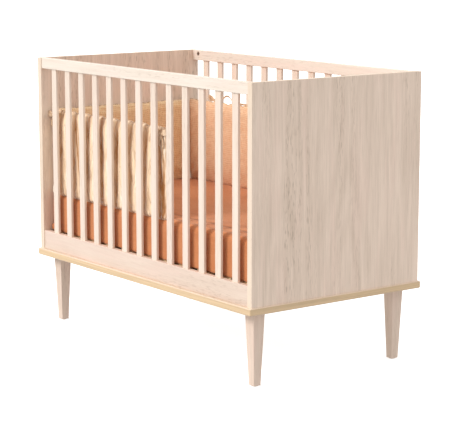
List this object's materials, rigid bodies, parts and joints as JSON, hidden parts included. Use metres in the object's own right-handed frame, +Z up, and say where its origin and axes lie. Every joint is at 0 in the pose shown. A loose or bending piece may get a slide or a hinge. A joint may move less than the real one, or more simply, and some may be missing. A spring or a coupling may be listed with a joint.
{
  "type": "baby crib",
  "caption": "Slatted baby crib with solid board ends on a plinth board and tapered legs, with a slatted base, a sheeted mattress and a tie-on padded bumper.",
  "frame": {"origin": "middle of the footprint, on the floor", "axes": "+X along the length, towards the end with no bumper pad; +Y from the front side to the back; +Z up"},
  "size_m": [1.26, 0.706, 0.951],
  "materials": {
    "panel_board": "matt whitened oak board with upright grain",
    "edge_band": "matt pale oak edge band",
    "side_timber": "matt whitened beech with fine straight grain",
    "plinth_board": "matt pale oak board, warmer at its edge",
    "leg_timber": "matt whitened beech",
    "base_timber": "planed pine, unfinished",
    "dowel_wood": "fluted beech",
    "zinc": "cast zinc, dull",
    "steel": "zinc plated steel",
    "nylon": "white nylon",
    "mattress_foam": "foam in a white cotton cover",
    "terracotta_cotton": "soft plain-woven cotton",
    "gold_satin": "crinkled cream and gold satin outside, peach waffle cotton inside",
    "cream_ribbon": "satin ribbon"
  },
  "bodies": {
    "cot_frame": {"plinth_board": "plinth_board", "base_screws": "steel", "leg_inserts": "steel", "hanger_bolts": "steel", "leg_front_left": "leg_timber", "leg_front_right": "leg_timber", "leg_rear_left": "leg_timber", "leg_rear_right": "leg_timber", "foot_glides": "nylon", "left_end_panel": "panel_board", "right_end_panel": "panel_board", "left_panel_edge_bands": "edge_band", "right_panel_edge_bands": "edge_band", "front_top_rail": "side_timber", "front_bottom_rail": "side_timber", "back_top_rail": "side_timber", "back_bottom_rail": "side_timber", "front_slat_01": "side_timber", "front_slat_02": "side_timber", "front_slat_03": "side_timber", "front_slat_04": "side_timber", "front_slat_05": "side_timber", "front_slat_06": "side_timber", "front_slat_07": "side_timber", "front_slat_08": "side_timber", "front_slat_09": "side_timber", "front_slat_10": "side_timber", "front_slat_11": "side_timber", "front_slat_12": "side_timber", "front_slat_13": "side_timber", "back_slat_01": "side_timber", "back_slat_02": "side_timber", "back_slat_03": "side_timber", "back_slat_04": "side_timber", "back_slat_05": "side_timber", "back_slat_06": "side_timber", "back_slat_07": "side_timber", "back_slat_08": "side_timber", "back_slat_09": "side_timber", "back_slat_10": "side_timber", "back_slat_11": "side_timber", "back_slat_12": "side_timber", "back_slat_13": "side_timber", "cam_fittings": "zinc", "cam_bolts": "steel", "rail_dowels": "dowel_wood", "base_brackets": "steel", "bracket_screws": "steel"},
    "bed_base": {"bed_base_side_rails": "base_timber", "bed_base_end_rails": "base_timber", "bed_base_slats": "base_timber", "bed_base_screws": "steel"},
    "mattress": {"mattress_core": "mattress_foam", "fitted_sheet": "terracotta_cotton"},
    "front_bumper": {"front_bumper_pad": "gold_satin", "front_bumper_bows": "cream_ribbon"},
    "back_bumper": {"back_bumper_pad": "gold_satin", "back_bumper_bows": "cream_ribbon"},
    "end_bumper": {"end_bumper_pad": "gold_satin"}
  },
  "joints": [
    {"name": "bed_base_height", "type": "slide", "parent": "cot_frame", "child": "bed_base", "axis": [0, 0, 1], "range_m": [0, 0.24]},
    {"name": "mattress_lift", "type": "slide", "parent": "bed_base", "child": "mattress", "axis": [0, 0, 1], "range_m": [0, 0.65]},
    {"name": "front_bumper_lift", "type": "slide", "parent": "mattress", "child": "front_bumper", "axis": [0, 0, 1], "range_m": [0, 0.5]},
    {"name": "back_bumper_lift", "type": "slide", "parent": "mattress", "child": "back_bumper", "axis": [0, 0, 1], "range_m": [0, 0.5]},
    {"name": "end_bumper_lift", "type": "slide", "parent": "mattress", "child": "end_bumper", "axis": [0, 0, 1], "range_m": [0, 0.5]}
  ]
}
